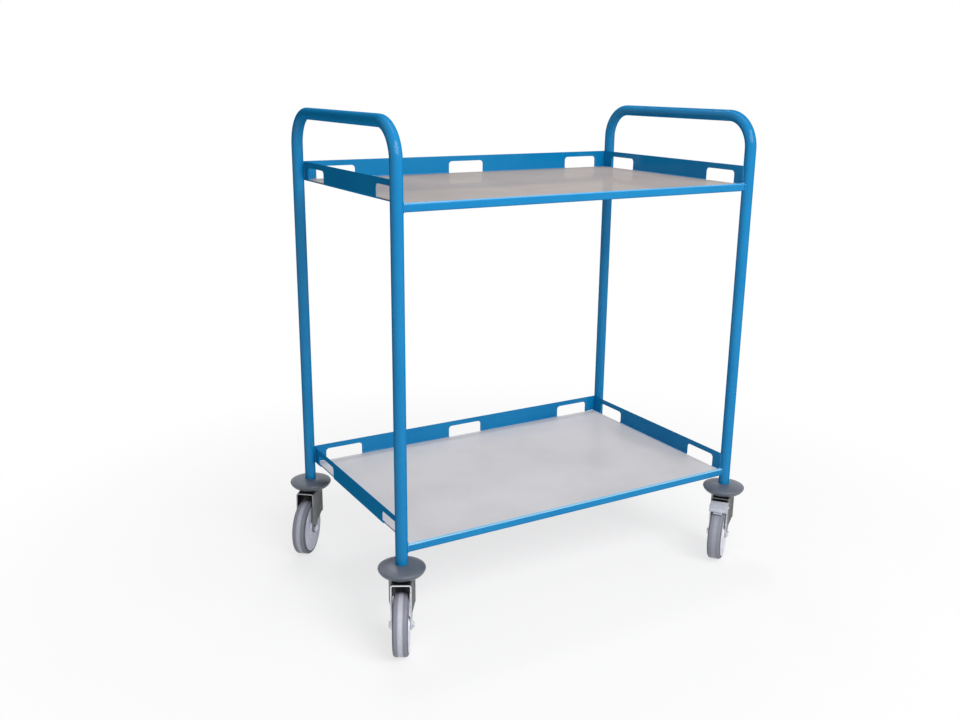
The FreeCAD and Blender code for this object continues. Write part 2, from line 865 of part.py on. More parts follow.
def wheel_tyre(label):
    """The rubber tyre, round at its shoulders."""
    body = new_body(label)
    bed = axle_height - cell("tyre_depth")
    edge = cell("tread_width") / 2
    round_off = cell("tyre_shoulder_radius")
    revolve(body, draw(wheel_sketch(body), [
        (bed, -edge),
        (axle_height, -edge, round_off),
        (axle_height, edge, round_off),
        (bed, edge),
    ]))
    return body


def brake_pin(label):
    """The pin across the fork's arms on which the pedal tips."""
    body = new_body(label)
    ring = sketch_on(body, "XZ_Plane")
    draw_circle(ring, pin_reach, pin_height, pin_radius)
    pad(body, ring, fork_width + cell("pedal_pin_end") * 2, both_ways=True)
    return body


def brake_pedal(label):
    """A sloping foot plate with a turned-down lip, a toe tab, and two cheeks on the pin."""
    body = new_body(label)
    metal = cell("pedal_sheet")
    back = pedal_back
    front = pedal_front
    margin = cell("pedal_cheek_margin")
    side = fork_inner_width / 2 - cell("pedal_side_gap")
    lip = pedal_front_height - cell("pedal_lip")
    plate = sketch_on(body, "XZ_Plane")
    draw(plate, [
        (back, under_pedal(back, metal)),
        (front - metal, under_pedal(front - metal, metal)),
        (front - metal, lip),
        (front, lip),
        (front, pedal_front_height),
        (back, pedal_back_height),
    ])
    pad(body, plate, fork_width, both_ways=True)
    tip = front + cell("toe_tab_reach")
    tab = sketch_on(body, "XZ_Plane")
    draw(tab, [
        (front - metal / 2, lip),
        (front, lip),
        (tip, lip - cell("toe_tab_drop")),
        (tip, lip - cell("toe_tab_drop") + metal),
        (front, lip + metal),
        (front - metal / 2, lip + metal),
    ])
    pad(body, tab, cell("toe_tab_width"), both_ways=True)
    for way in (-1, 1):
        lift = side if way > 0 else metal - side
        cheek = sketch_on(body, "XZ_Plane", (0, 0, lift))
        draw(cheek, [
            (back, under_pedal(back, metal / 2)),
            (back, pin_height - margin),
            (pin_reach + margin, pin_height - margin),
            (pin_reach + margin, under_pedal(pin_reach + margin, metal / 2)),
        ])
        pad(body, cheek, metal, backwards=True)
    hole = draw_circle(sketch_on(body, "XZ_Plane"), pin_reach, pin_height, pin_radius + cell("running_fit"))
    pocket(body, hole, fork_width, both_ways=True)
    return body


def castor(name):
    """One castor with its bumper and tube plug, under one post, turned to its angle at rest."""
    side_x, side_y, braked = CASTORS[name]
    builders = {
        "bumper": bumper_disc,
        "tube_plug": tube_plug,
        "stem_bolt": stem_bolt,
        "swivel_head": swivel_head,
        "swivel_balls": swivel_balls,
        "fork": lambda label: castor_fork(label, braked),
        "axle_bolt": axle_bolt,
        "axle_sleeve": axle_sleeve,
        "hub": wheel_hub,
        "tyre": wheel_tyre,
    }
    if braked:
        builders["brake_pin"] = brake_pin
        builders["brake_pedal"] = brake_pedal
    for piece, build in builders.items():
        label = "%s_%s" % (name, piece)
        item = build(label)
        place(item, half_x * side_x, half_y * side_y, 0, cell(name + "_swivel"))
        keep(item, label)


end_hoop("left_end_hoop", -1)
end_hoop("right_end_hoop", 1)
for level in ("lower", "upper"):
    shelf(level)
for corner in CASTORS:
    castor(corner)
document.recompute()

for item in document.Objects:
    if "Invalid" in item.State or "Error" in item.State:
        raise RuntimeError("%s failed: %s" % (item.Label, item.State))
for item in finished:
    if item.Shape.isNull() or not item.Shape.isValid():
        raise RuntimeError("%s has no valid shape" % item.Label)
os.makedirs("parts", exist_ok=True)
for item in finished:
    item.Shape.exportStep("parts/%s.step" % item.Label)
    print("%-28s %d solids %10.0f mm3" % (item.Label, len(item.Shape.Solids), item.Shape.Volume))
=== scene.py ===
"""Looks of a two-shelf service cart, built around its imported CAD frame."""
import json
import logging
import math
import random
from dataclasses import dataclass
from enum import Enum
from typing import ClassVar, Dict, Iterable, List, Optional, Sequence, Tuple, Union

import bmesh
import bpy
from mathutils import Matrix, Vector


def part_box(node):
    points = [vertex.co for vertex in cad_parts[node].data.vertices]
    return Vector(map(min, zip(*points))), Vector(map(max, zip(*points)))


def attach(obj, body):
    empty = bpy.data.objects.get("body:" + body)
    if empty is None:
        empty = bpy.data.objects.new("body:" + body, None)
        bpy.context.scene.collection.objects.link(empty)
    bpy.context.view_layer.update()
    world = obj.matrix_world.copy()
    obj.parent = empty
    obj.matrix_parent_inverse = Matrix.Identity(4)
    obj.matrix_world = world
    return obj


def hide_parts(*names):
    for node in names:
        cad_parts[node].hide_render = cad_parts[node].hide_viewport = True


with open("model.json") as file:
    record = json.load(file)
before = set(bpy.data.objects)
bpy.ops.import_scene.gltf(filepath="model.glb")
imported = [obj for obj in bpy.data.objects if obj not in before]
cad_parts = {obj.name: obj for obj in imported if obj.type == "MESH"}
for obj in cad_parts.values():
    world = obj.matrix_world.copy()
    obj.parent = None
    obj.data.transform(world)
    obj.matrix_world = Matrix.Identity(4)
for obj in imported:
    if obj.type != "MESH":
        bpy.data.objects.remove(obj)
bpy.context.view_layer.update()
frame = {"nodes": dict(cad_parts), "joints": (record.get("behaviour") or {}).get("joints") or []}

LOG = logging.getLogger("service_cart")
MM = 0.001
FRAME_BODY = "cart_frame"
NOISE_MIDDLE = 0.5
CAD_MERGE = 3e-6
TURNED_MERGE = 1e-7
RING_TOLERANCE = 1e-6
Span = Tuple[float, float]
Point = Tuple[float, float, float]
Colour = Tuple[float, float, float, float]
Key = Union[str, int]
WHITE: Colour = (1, 1, 1, 1)


class Level(Enum):
    """The two shelves."""

    LOWER = "lower"
    UPPER = "upper"


class Post(Enum):
    """The four posts, and the castors under them."""

    FRONT_LEFT = "front_left"
    REAR_LEFT = "rear_left"
    FRONT_RIGHT = "front_right"
    REAR_RIGHT = "rear_right"


class Slot(Enum):
    """The record's material slots that match the new pieces' finishes; nothing reads them."""

    PAINT = "blue_paint"
    BOARD = "grey_board"
    BUMPER = "bumper_plastic"
    ZINC = "zinc_plate"
    HUB = "hub_plastic"
    RUBBER = "grey_rubber"


def paint(red: int, green: int, blue: int) -> Colour:
    """A display colour of 0 to 255 as a linear one.

    Args:
        red: Red on the display.
        green: Green on the display.
        blue: Blue on the display.

    Returns:
        The linear colour with full alpha.
    """
    def linear(level: int) -> float:
        """One channel made linear by the display's curve."""
        share = level / 255
        return share / 12.92 if share <= 0.04045 else ((share + 0.055) / 1.055) ** 2.4

    return linear(red), linear(green), linear(blue), 1.0


class Wire:
    """A value in a node tree that takes part in Python arithmetic."""

    def __init__(self, bench: "Bench", socket: bpy.types.NodeSocket) -> None:
        """Keeps the socket with the bench that it is on."""
        self.bench = bench
        self.socket = socket

    def __add__(self, other: Union["Wire", float]) -> "Wire":
        """The sum."""
        return self.bench.maths("ADD", self, other)

    def __radd__(self, other: float) -> "Wire":
        """The sum with a number on the left."""
        return self.bench.maths("ADD", other, self)

    def __sub__(self, other: Union["Wire", float]) -> "Wire":
        """The difference."""
        return self.bench.maths("SUBTRACT", self, other)

    def __rsub__(self, other: float) -> "Wire":
        """The difference from a number on the left."""
        return self.bench.maths("SUBTRACT", other, self)

    def __mul__(self, other: Union["Wire", float]) -> "Wire":
        """The product."""
        return self.bench.maths("MULTIPLY", self, other)

    def __rmul__(self, other: float) -> "Wire":
        """The product with a number on the left."""
        return self.bench.maths("MULTIPLY", other, self)

    def __abs__(self) -> "Wire":
        """The size without its sign."""
        return self.bench.maths("ABSOLUTE", self, 0.0)


Value = Union[Wire, float, Colour, Point]


class Bench:
    """A node tree under construction."""

    def __init__(self, tree: bpy.types.NodeTree) -> None:
        """Clears the tree."""
        self.tree = tree
        self.tree.nodes.clear()

    def add(self, kind: str, settings: Optional[Dict] = None, values: Optional[Dict[Key, Value]] = None,
            output: Key = 0) -> Optional[Wire]:
        """Adds one node.

        Args:
            kind: The node's type.
            settings: Its own settings, set first.
            values: Numbers, colours or wires for its sockets.
            output: The output to hand back.

        Returns:
            The output, or None where the node has none.
        """
        node = self.tree.nodes.new(kind)
        for key, setting in (settings or {}).items():
            setattr(node, key, setting)
        for key, value in (values or {}).items():
            if isinstance(value, Wire):
                self.tree.links.new(value.socket, node.inputs[key])
            else:
                node.inputs[key].default_value = value
        return Wire(self, node.outputs[output]) if node.outputs else None

    def maths(self, operation: str, first: Union[Wire, float], second: Union[Wire, float]) -> Wire:
        """One step of arithmetic."""
        return self.add("ShaderNodeMath", {"operation": operation}, {0: first, 1: second})

    def step(self, value: Wire, low: float, high: float) -> Wire:
        """A soft step from 0 at low to 1 at high."""
        limits = {"Value": value, "From Min": low, "From Max": high}
        return self.add("ShaderNodeMapRange", {"interpolation_type": "SMOOTHSTEP"}, limits)

    def mix(self, share: Wire, first: Union[Wire, Colour], second: Union[Wire, Colour]) -> Wire:
        """A colour between two."""
        return self.add("ShaderNodeMix", {"data_type": "RGBA"}, {0: share, 6: first, 7: second}, 2)

    def place(self, anchor: Optional[Matrix] = None, stretch: Point = (1, 1, 1)) -> Wire:
        """The piece's own coordinates, from an anchor and stretched.

        Args:
            anchor: Where the pattern's centre is and how it is turned.
            stretch: How much longer the pattern is along each axis.

        Returns:
            The coordinates.
        """
        here = self.add("ShaderNodeTexCoord", output="Object")
        if anchor is not None:
            spot = {"Vector": here, "Location": anchor.translation, "Rotation": anchor.to_euler()}
            here = self.add("ShaderNodeMapping", {"vector_type": "TEXTURE"}, spot)
        if stretch != (1, 1, 1):
            longer = {"Vector": here, "Scale": stretch}
            here = self.add("ShaderNodeMapping", {"vector_type": "TEXTURE"}, longer)
        return here

    def noise(self, here: Wire, size: float, detail: float = 2.0) -> Wire:
        """Soft random variation about 0.5.

        Args:
            here: The coordinates.
            size: The size of its features in metres.
            detail: How many finer layers it has.

        Returns:
            The variation.
        """
        return self.add("ShaderNodeTexNoise", None, {"Vector": here, "Scale": 1 / size, "Detail": detail})

    def grazing(self, low: float, high: float) -> Wire:
        """0 where the surface is faced and 1 where it is seen at a low angle."""
        return self.step(self.add("ShaderNodeLayerWeight", None, {"Blend": 0.5}, "Facing"), low, high)

    def bump(self, height: Wire, depth: float) -> Wire:
        """A normal from a height of 0 to 1 and a depth in metres."""
        return self.add("ShaderNodeBump", None, {"Height": height, "Distance": depth})

    def surface(self, **sockets: Value) -> None:
        """Ends a material in one shader.

        Args:
            sockets: What goes into the shader; a socket's name has _ for each space.
        """
        values = {key.replace("_", " "): value for key, value in sockets.items()}
        shader = self.add("ShaderNodeBsdfPrincipled", None, values)
        self.add("ShaderNodeOutputMaterial", None, {"Surface": shader})


def new_bench(name: str) -> Tuple[bpy.types.Material, Bench]:
    """Starts a material.

    Args:
        name: The material's name.

    Returns:
        The material and its empty bench.
    """
    material = bpy.data.materials.new(name)
    material.use_nodes = True
    return material, Bench(material.node_tree)


@dataclass(frozen=True)
class PowderCoat:
    """Glossy blue powder coat with orange peel, faint cloudiness and small scuffs."""

    colour: Colour = paint(10, 123, 181)
    thin: Colour = paint(24, 135, 190)
    roughness: float = 0.5
    sheen: float = 0.02
    gloss: float = 0.38
    gloss_roughness: float = 0.12
    low_gloss: float = 0.0
    low_range: Span = (0.25, 0.6)
    low_dulling: float = 0.3
    cloud_size: float = 180 * MM
    cloud_range: Span = (0.3, 0.75)
    cloud_tint: float = 0.6
    cloud_dulling: float = 0.08
    cloud_gloss: float = 0.15
    scuff_size: float = 10 * MM
    scuff_stretch: float = 5
    scuff_range: Span = (0.66, 0.74)
    scuff_tint: float = 0.2
    scuff_dulling: float = 0.16
    scuff_gloss: float = 0.2
    peel_size: float = 2.6 * MM
    peel_depth: float = 0.04 * MM
    dust_size: float = 1.1 * MM
    dust_dulling: float = 0.05
    dust_height: float = 0.15

    def material(self, name: str) -> bpy.types.Material:
        """The finish as a material, with less gloss where it is seen at a low angle.

        Args:
            name: The material's name.

        Returns:
            The material.
        """
        material, bench = new_bench(name)
        here = bench.place()
        upright = bench.place(stretch=(1, 1, self.scuff_stretch))
        low = bench.grazing(*self.low_range)
        cloud = bench.noise(here, self.cloud_size, 3)
        peel = bench.noise(here, self.peel_size, 1)
        dust = bench.noise(here, self.dust_size, 2)
        scuffs = bench.step(bench.noise(upright, self.scuff_size, 4), *self.scuff_range)
        uneven = cloud - NOISE_MIDDLE
        tint = bench.step(cloud, *self.cloud_range) * self.cloud_tint + scuffs * self.scuff_tint
        dulling = low * self.low_dulling + uneven * self.cloud_dulling + scuffs * self.scuff_dulling
        facing = 1 - low * (1 - self.low_gloss)
        bench.surface(
            Base_Color=bench.mix(tint, self.colour, self.thin),
            Roughness=self.roughness + dulling + (dust - NOISE_MIDDLE) * self.dust_dulling,
            Specular_IOR_Level=self.sheen,
            Coat_Weight=facing * (self.gloss - scuffs * self.scuff_gloss + uneven * self.cloud_gloss),
            Coat_Roughness=self.gloss_roughness,
            Normal=bench.bump(peel + dust * self.dust_height, self.peel_depth),
        )
        return material


@dataclass(frozen=True)
class BoardCoat:
    """Pale grey coated sheet with a fine speckle, soft cloudiness and light rubbing."""

    colour: Colour
    patch: Colour
    roughness: float
    low_dulling: float
    gloss: float
    varnish: float
    varnish_roughness: float = 0.06
    low_range: Span = (0.55, 0.85)
    cloud_size: float = 220 * MM
    cloud_range: Span = (0.35, 0.72)
    cloud_tint: float = 0.7
    cloud_dulling: float = 0.12
    speckle_size: float = 1.6 * MM
    speckle_tint: float = 0.5
    speckle_height: float = 0.04
    rub_size: float = 6 * MM
    rub_stretch: float = 9
    rub_range: Span = (0.64, 0.76)
    rub_dulling: float = 0.1
    ripple_size: float = 50 * MM
    ripple_depth: float = 0.6 * MM

    def material(self, name: str) -> bpy.types.Material:
        """The finish as a material, which dulls where it is seen at a low angle.

        Args:
            name: The material's name.

        Returns:
            The material.
        """
        material, bench = new_bench(name)
        here = bench.place()
        lengthwise = bench.place(stretch=(self.rub_stretch, 1, 1))
        low = bench.grazing(*self.low_range)
        cloud = bench.noise(here, self.cloud_size, 3)
        speckle = bench.noise(here, self.speckle_size, 2)
        ripple = bench.noise(here, self.ripple_size, 2)
        rubs = bench.step(bench.noise(lengthwise, self.rub_size, 5), *self.rub_range)
        grains = (speckle - NOISE_MIDDLE) * self.speckle_tint
        tint = bench.step(cloud, *self.cloud_range) * self.cloud_tint + grains
        dulling = low * self.low_dulling + (cloud - NOISE_MIDDLE) * self.cloud_dulling
        bench.surface(
            Base_Color=bench.mix(tint, self.colour, self.patch),
            Roughness=self.roughness + dulling + rubs * self.rub_dulling,
            Specular_IOR_Level=self.gloss,
            Coat_Weight=self.varnish,
            Coat_Roughness=self.varnish_roughness,
            Normal=bench.bump(ripple + speckle * self.speckle_height, self.ripple_depth),
        )
        return material


@dataclass(frozen=True)
class MouldedPlastic:
    """Satin moulded plastic with fine grain, mould swirl and a trace of dust."""

    colour: Colour
    worn: Colour
    roughness: float
    gloss: float = 0.4
    cloud_size: float = 30 * MM
    cloud_range: Span = (0.3, 0.8)
    cloud_tint: float = 0.6
    cloud_dulling: float = 0.12
    mark_size: float = 6 * MM
    mark_range: Span = (0.6, 0.72)
    mark_tint: float = 0.25
    mark_dulling: float = 0.1
    grain_size: float = 0.8 * MM
    grain_depth: float = 0.06 * MM

    def material(self, name: str, anchor: Matrix) -> bpy.types.Material:
        """The finish as a material.

        Args:
            name: The material's name.
            anchor: Where its swirl is centred.

        Returns:
            The material.
        """
        material, bench = new_bench(name)
        here = bench.place(anchor)
        cloud = bench.noise(here, self.cloud_size, 3)
        grain = bench.noise(here, self.grain_size, 2)
        marks = bench.step(bench.noise(here, self.mark_size, 5), *self.mark_range)
        tint = bench.step(cloud, *self.cloud_range) * self.cloud_tint + marks * self.mark_tint
        dulling = (cloud - NOISE_MIDDLE) * self.cloud_dulling + marks * self.mark_dulling
        bench.surface(
            Base_Color=bench.mix(tint, self.colour, self.worn),
            Roughness=self.roughness + dulling,
            Specular_IOR_Level=self.gloss,
            Normal=bench.bump(grain, self.grain_depth),
        )
        return material


@dataclass(frozen=True)
class ZincPlate:
    """Zinc-plated steel: a cool sheen, faint drawing lines and dull spots."""

    bright: Colour
    dull: Colour
    roughness: float = 0.40
    cloud_size: float = 14 * MM
    cloud_range: Span = (0.32, 0.7)
    cloud_tint: float = 0.75
    cloud_dulling: float = 0.2
    cloud_height: float = 0.5
    line_size: float = 1.2 * MM
    line_stretch: float = 14
    line_dulling: float = 0.1
    line_depth: float = 0.03 * MM
    spot_size: float = 4 * MM
    spot_range: Span = (0.58, 0.70)
    spot_tint: float = 0.25
    spot_dulling: float = 0.12

    def material(self, name: str, anchor: Optional[Matrix] = None) -> bpy.types.Material:
        """The finish as a material.

        Args:
            name: The material's name.
            anchor: Its drawing lines run along this one's X.

        Returns:
            The material.
        """
        material, bench = new_bench(name)
        here = bench.place(anchor)
        drawn = bench.place(anchor, (self.line_stretch, 1, 1))
        cloud = bench.noise(here, self.cloud_size, 3)
        lines = bench.noise(drawn, self.line_size, 3)
        spots = bench.step(bench.noise(here, self.spot_size, 4), *self.spot_range)
        tint = bench.step(cloud, *self.cloud_range) * self.cloud_tint + spots * self.spot_tint
        dulling = (cloud - NOISE_MIDDLE) * self.cloud_dulling + spots * self.spot_dulling
        bench.surface(
            Base_Color=bench.mix(tint, self.bright, self.dull),
            Metallic=1.0,
            Roughness=self.roughness + dulling + (lines - NOISE_MIDDLE) * self.line_dulling,
            Normal=bench.bump(lines + cloud * self.cloud_height, self.line_depth),
        )
        return material


@dataclass(frozen=True)
class TyreRubber:
    """Grey rubber: a painted highlight as a pale band round the tread, painted shade on the shoulders and
    in a dark ring by the hub, and fine mould marks.
    """

    highlight_strength: float
    # Painted highlight: the pale band round the middle of the tread.
    highlight_track: Colour = paint(206, 207, 220)
    tread: Colour = paint(138, 140, 152)
    # Painted shade: a darker colour for the tread's shoulders, and a near-black ring on the tyre's side by
    # the hub for the groove there.
    shoulder: Colour = paint(92, 93, 102)
    bead: Colour = paint(48, 49, 55)
    roughness: float = 0.62
    gloss: float = 0.4
    track_span: Span = (2.7 * MM, 6.75 * MM)
    track_polish: float = 0.12
    least_highlight: float = 0.45
    shoulder_shade_span: Span = (11.16 * MM, 15.19 * MM)
    shoulder_shade_tint: float = 0.85
    groove_shade_span: Span = (55.3 * MM, 56.8 * MM)
    groove_shade_tint: float = 0.9
    smear_size: float = 16 * MM
    smear_stretch: float = 0.25
    smear_wander: float = 3 * MM
    smear_highlight: float = 0.7
    smear_dulling: float = 0.25
    smear_height: float = 0.6
    grain_size: float = 1.2 * MM
    grain_depth: float = 0.12 * MM

    def material(self, name: str, anchor: Matrix) -> bpy.types.Material:
        """The finish as a material.

        Args:
            name: The material's name.
            anchor: The wheel's place, with its axle along Y.

        Returns:
            The material.
        """
        material, bench = new_bench(name)
        here = bench.place(anchor)
        across = abs(bench.add("ShaderNodeSeparateXYZ", None, {"Vector": here}, "Y"))
        flat = bench.add("ShaderNodeVectorMath", {"operation": "MULTIPLY"}, {0: here, 1: (1, 0, 1)})
        radius = bench.add("ShaderNodeVectorMath", {"operation": "LENGTH"}, {0: flat}, "Value")
        grain = bench.noise(here, self.grain_size, 3)
        smear = bench.noise(bench.place(anchor, (1, self.smear_stretch, 1)), self.smear_size, 4)
        uneven = smear - NOISE_MIDDLE
        wander = across + uneven * self.smear_wander
        highlight_track = 1 - bench.step(wander, *self.track_span)
        # Painted shade on the shoulders and in the ring by the hub.
        edge = bench.step(wander, *self.shoulder_shade_span)
        groove_shade = 1 - bench.step(radius, *self.groove_shade_span)
        # Mixes the painted highlight into the tread colour.
        highlight_share = highlight_track * (self.least_highlight + smear * self.smear_highlight) * self.highlight_strength
        worn = bench.mix(highlight_share, self.tread, self.highlight_track)
        sides = bench.mix(edge * self.shoulder_shade_tint, worn, self.shoulder)
        bench.surface(
            Base_Color=bench.mix(groove_shade * self.groove_shade_tint, sides, self.bead),
            Roughness=self.roughness + uneven * self.smear_dulling - highlight_track * self.track_polish,
            Specular_IOR_Level=self.gloss,
            Normal=bench.bump(grain + smear * self.smear_height, self.grain_depth),
        )
        return material


class Workpiece:
    """A mesh under construction that becomes one piece of the cart."""

    def __init__(self, name: str) -> None:
        """Starts empty."""
        self.name = name
        self.bm = bmesh.new()

    def copy_node(self, node: str, flat: float = 0.2) -> "Workpiece":
        """Starts from a CAD node, merged, with its flat faces joined.

        Args:
            node: The CAD node.
            flat: The turn in degrees up to which faces count as flat.

        Returns:
            This piece.
        """
        self.bm.from_mesh(frame["nodes"][node].data)
        bmesh.ops.remove_doubles(self.bm, verts=self.bm.verts, dist=CAD_MERGE)
        bmesh.ops.dissolve_limit(self.bm, angle_limit=math.radians(flat), verts=self.bm.verts,
                                 edges=self.bm.edges)
        return self

    def corners(self, turn: float = 38.0) -> List[bmesh.types.BMEdge]:
        """The edges between faces that turn by more than this, in degrees."""
        limit = math.radians(turn)
        return [edge for edge in self.bm.edges if edge.is_manifold and edge.calc_face_angle(0.0) > limit]

    def loop_at(self, radius: float, height: float) -> List[bmesh.types.BMEdge]:
        """Finds the edges of a turned piece that run round it.

        Args:
            radius: How far from the axis they run.
            height: Where they lie along the axis.

        Returns:
            The edges.
        """
        def is_there(vert: bmesh.types.BMVert) -> bool:
            """Whether a vertex is on that ring."""
            off = (vert.co.xy.length - radius, vert.co.z - height)
            return max(abs(off[0]), abs(off[1])) < RING_TOLERANCE

        return [edge for edge in self.bm.edges if all(is_there(vert) for vert in edge.verts)]

    def round_off(self, edges: Iterable[bmesh.types.BMEdge], width: float,
                  segments: int = 2) -> "Workpiece":
        """Rounds edges.

        Args:
            edges: The edges.
            width: The width that the rounding takes from each side, in metres.
            segments: How many faces it has across.

        Returns:
            This piece.
        """
        bmesh.ops.bevel(self.bm, geom=list(edges), offset=width, offset_type="OFFSET", affect="EDGES",
                        segments=segments, profile=0.5, material=-1, clamp_overlap=False, loop_slide=True)
        return self

    def move(self, matrix: Matrix) -> "Workpiece":
        """Places the whole mesh."""
        bmesh.ops.transform(self.bm, matrix=matrix, verts=self.bm.verts)
        return self

    def finish(self, material: bpy.types.Material, body: str, slot: Slot, nodes: Sequence[str] = (),
               crease: float = 40.0) -> bpy.types.Object:
        """Turns the mesh into a piece on a body.

        Args:
            material: The piece's finish.
            body: The CAD body that it moves with.
            slot: The record's slot for that finish; not used.
            nodes: The CAD nodes that it stands for.
            crease: The turn in degrees from which an edge stays sharp.

        Returns:
            The piece.
        """
        mesh = bpy.data.meshes.new(self.name)
        for face in self.bm.faces:
            face.smooth = True
        self.bm.to_mesh(mesh)
        self.bm.free()
        mesh.set_sharp_from_angle(angle=math.radians(crease))
        mesh.materials.append(material)
        piece = bpy.data.objects.new(self.name, mesh)
        bpy.context.scene.collection.objects.link(piece)
        weighted = piece.modifiers.new("flat_faces", "WEIGHTED_NORMAL")
        weighted.keep_sharp = True
        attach(piece, body)
        if nodes:
            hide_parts(*nodes)
        LOG.info("%s: %d faces on %s", self.name, len(mesh.polygons), body)
        return piece


class Outline:
    """A section drawn in the XZ plane from point to point, then turned about Z."""

    def __init__(self, work: Workpiece, x: float, z: float) -> None:
        """Starts at a point.

        Args:
            work: The mesh to draw in.
            x: Where it starts.
            z: Where it starts.
        """
        self.bm = work.bm
        self.first = self.bm.verts.new((x, 0, z))
        self.last = self.first

    def line(self, x: float, z: float) -> "Outline":
        """Draws a straight stretch to a point.

        Args:
            x: Where it ends.
            z: Where it ends.

        Returns:
            This outline.
        """
        made = bmesh.ops.extrude_vert_indiv(self.bm, verts=[self.last])
        self.last = made["verts"][0]
        bmesh.ops.translate(self.bm, verts=[self.last], vec=Vector((x, 0, z)) - self.last.co)
        return self

    def arc(self, x: float, z: float, radius: float, steps: int = 8) -> "Outline":
        """Draws an arc to a point.

        Args:
            x: Where it ends.
            z: Where it ends.
            radius: Its radius; above 0 it bulges to the right of travel, below 0 to the left.
            steps: How many edges it has.

        Returns:
            This outline.
        """
        start = self.last.co.copy()
        chord = Vector((x, 0, z)) - start
        half = chord.length / 2
        left = Vector((-chord.z, 0, chord.x)).normalized()
        rise = math.copysign(math.sqrt(max(radius * radius - half * half, 0.0)), radius)
        centre = start + chord / 2 + left * rise
        turn = 2 * math.asin(min(1.0, half / abs(radius)))
        made = bmesh.ops.spin(self.bm, geom=[self.last], cent=centre, axis=(0, -1, 0),
                              angle=math.copysign(turn, radius), steps=steps)
        self.last = next(item for item in made["geom_last"] if isinstance(item, bmesh.types.BMVert))
        return self

    def turn(self, steps: int, closed: bool = True) -> None:
        """Turns the section fully about Z.

        Args:
            steps: How many faces it has round.
            closed: Whether the section's end joins its start.
        """
        if closed:
            bmesh.ops.contextual_create(self.bm, geom=[self.last, self.first])
        bmesh.ops.spin(self.bm, geom=self.bm.verts[:] + self.bm.edges[:], cent=(0, 0, 0), axis=(0, 0, 1),
                       angle=2 * math.pi, steps=steps, use_merge=True)
        bmesh.ops.remove_doubles(self.bm, verts=self.bm.verts, dist=TURNED_MERGE)
        bmesh.ops.recalc_face_normals(self.bm, faces=self.bm.faces)


@dataclass
class Finishes:
    """The materials that several pieces share."""

    paint: bpy.types.Material
    weld_paint: bpy.types.Material
    lower_board: bpy.types.Material
    upper_board: bpy.types.Material
    bright_zinc: bpy.types.Material
    dark_zinc: bpy.types.Material
    plain_steel: bpy.types.Material

    @classmethod
    def mix_all(cls) -> "Finishes":
        """Makes every shared material.

        Returns:
            The materials.
        """
        lower_coat = BoardCoat(
            colour=paint(212, 210, 213),
            patch=paint(199, 197, 200),
            roughness=0.36,
            low_dulling=0.1,
            gloss=0.12,
            varnish=0.06,
        )
        # Painted shade: the upper board is a darker, warmer copy of the lower board's coat, for the dimmer
        # low-angle light it gets.
        shaded_upper_coat = BoardCoat(
            colour=paint(168, 160, 157),
            patch=paint(150, 144, 142),
            roughness=0.38,
            low_dulling=0.4,
            gloss=0.03,
            varnish=0.12,
        )
        return cls(
            paint=PowderCoat().material("blue_powder_coat"),
            weld_paint=PowderCoat(gloss=0.95, gloss_roughness=0.08).material("weld_powder_coat"),
            lower_board=lower_coat.material("lower_board_coat"),
            upper_board=shaded_upper_coat.material("upper_board_coat"),
            bright_zinc=ZincPlate(paint(226, 228, 234), paint(198, 201, 209)).material("bright_zinc"),
            # Painted shade: the swivel head's zinc is darkened to stand in for the shadow under the bumper
            # disc.
            dark_zinc=ZincPlate(paint(122, 124, 128), paint(96, 98, 102), 0.44).material("dark_zinc"),
            plain_steel=ZincPlate(paint(150, 150, 152), paint(118, 118, 121), 0.42).material("plain_steel"),
        )


def dress(node: str, material: bpy.types.Material) -> None:
    """Gives a CAD node that stays its finish.

    Args:
        node: The CAD node.
        material: Its finish.
    """
    piece = frame["nodes"][node]
    piece.data.materials.clear()
    piece.data.materials.append(material)
    LOG.info("%s: CAD node with %s", node, material.name)


@dataclass
class EndHoops:
    """The two bent tubes with the hand grips, kept from the CAD frame."""

    finishes: Finishes
    nodes: Tuple[str, str] = ("left_end_hoop", "right_end_hoop")

    def build(self) -> None:
        """Dresses both hoops."""
        for node in self.nodes:
            dress(node, self.finishes.paint)


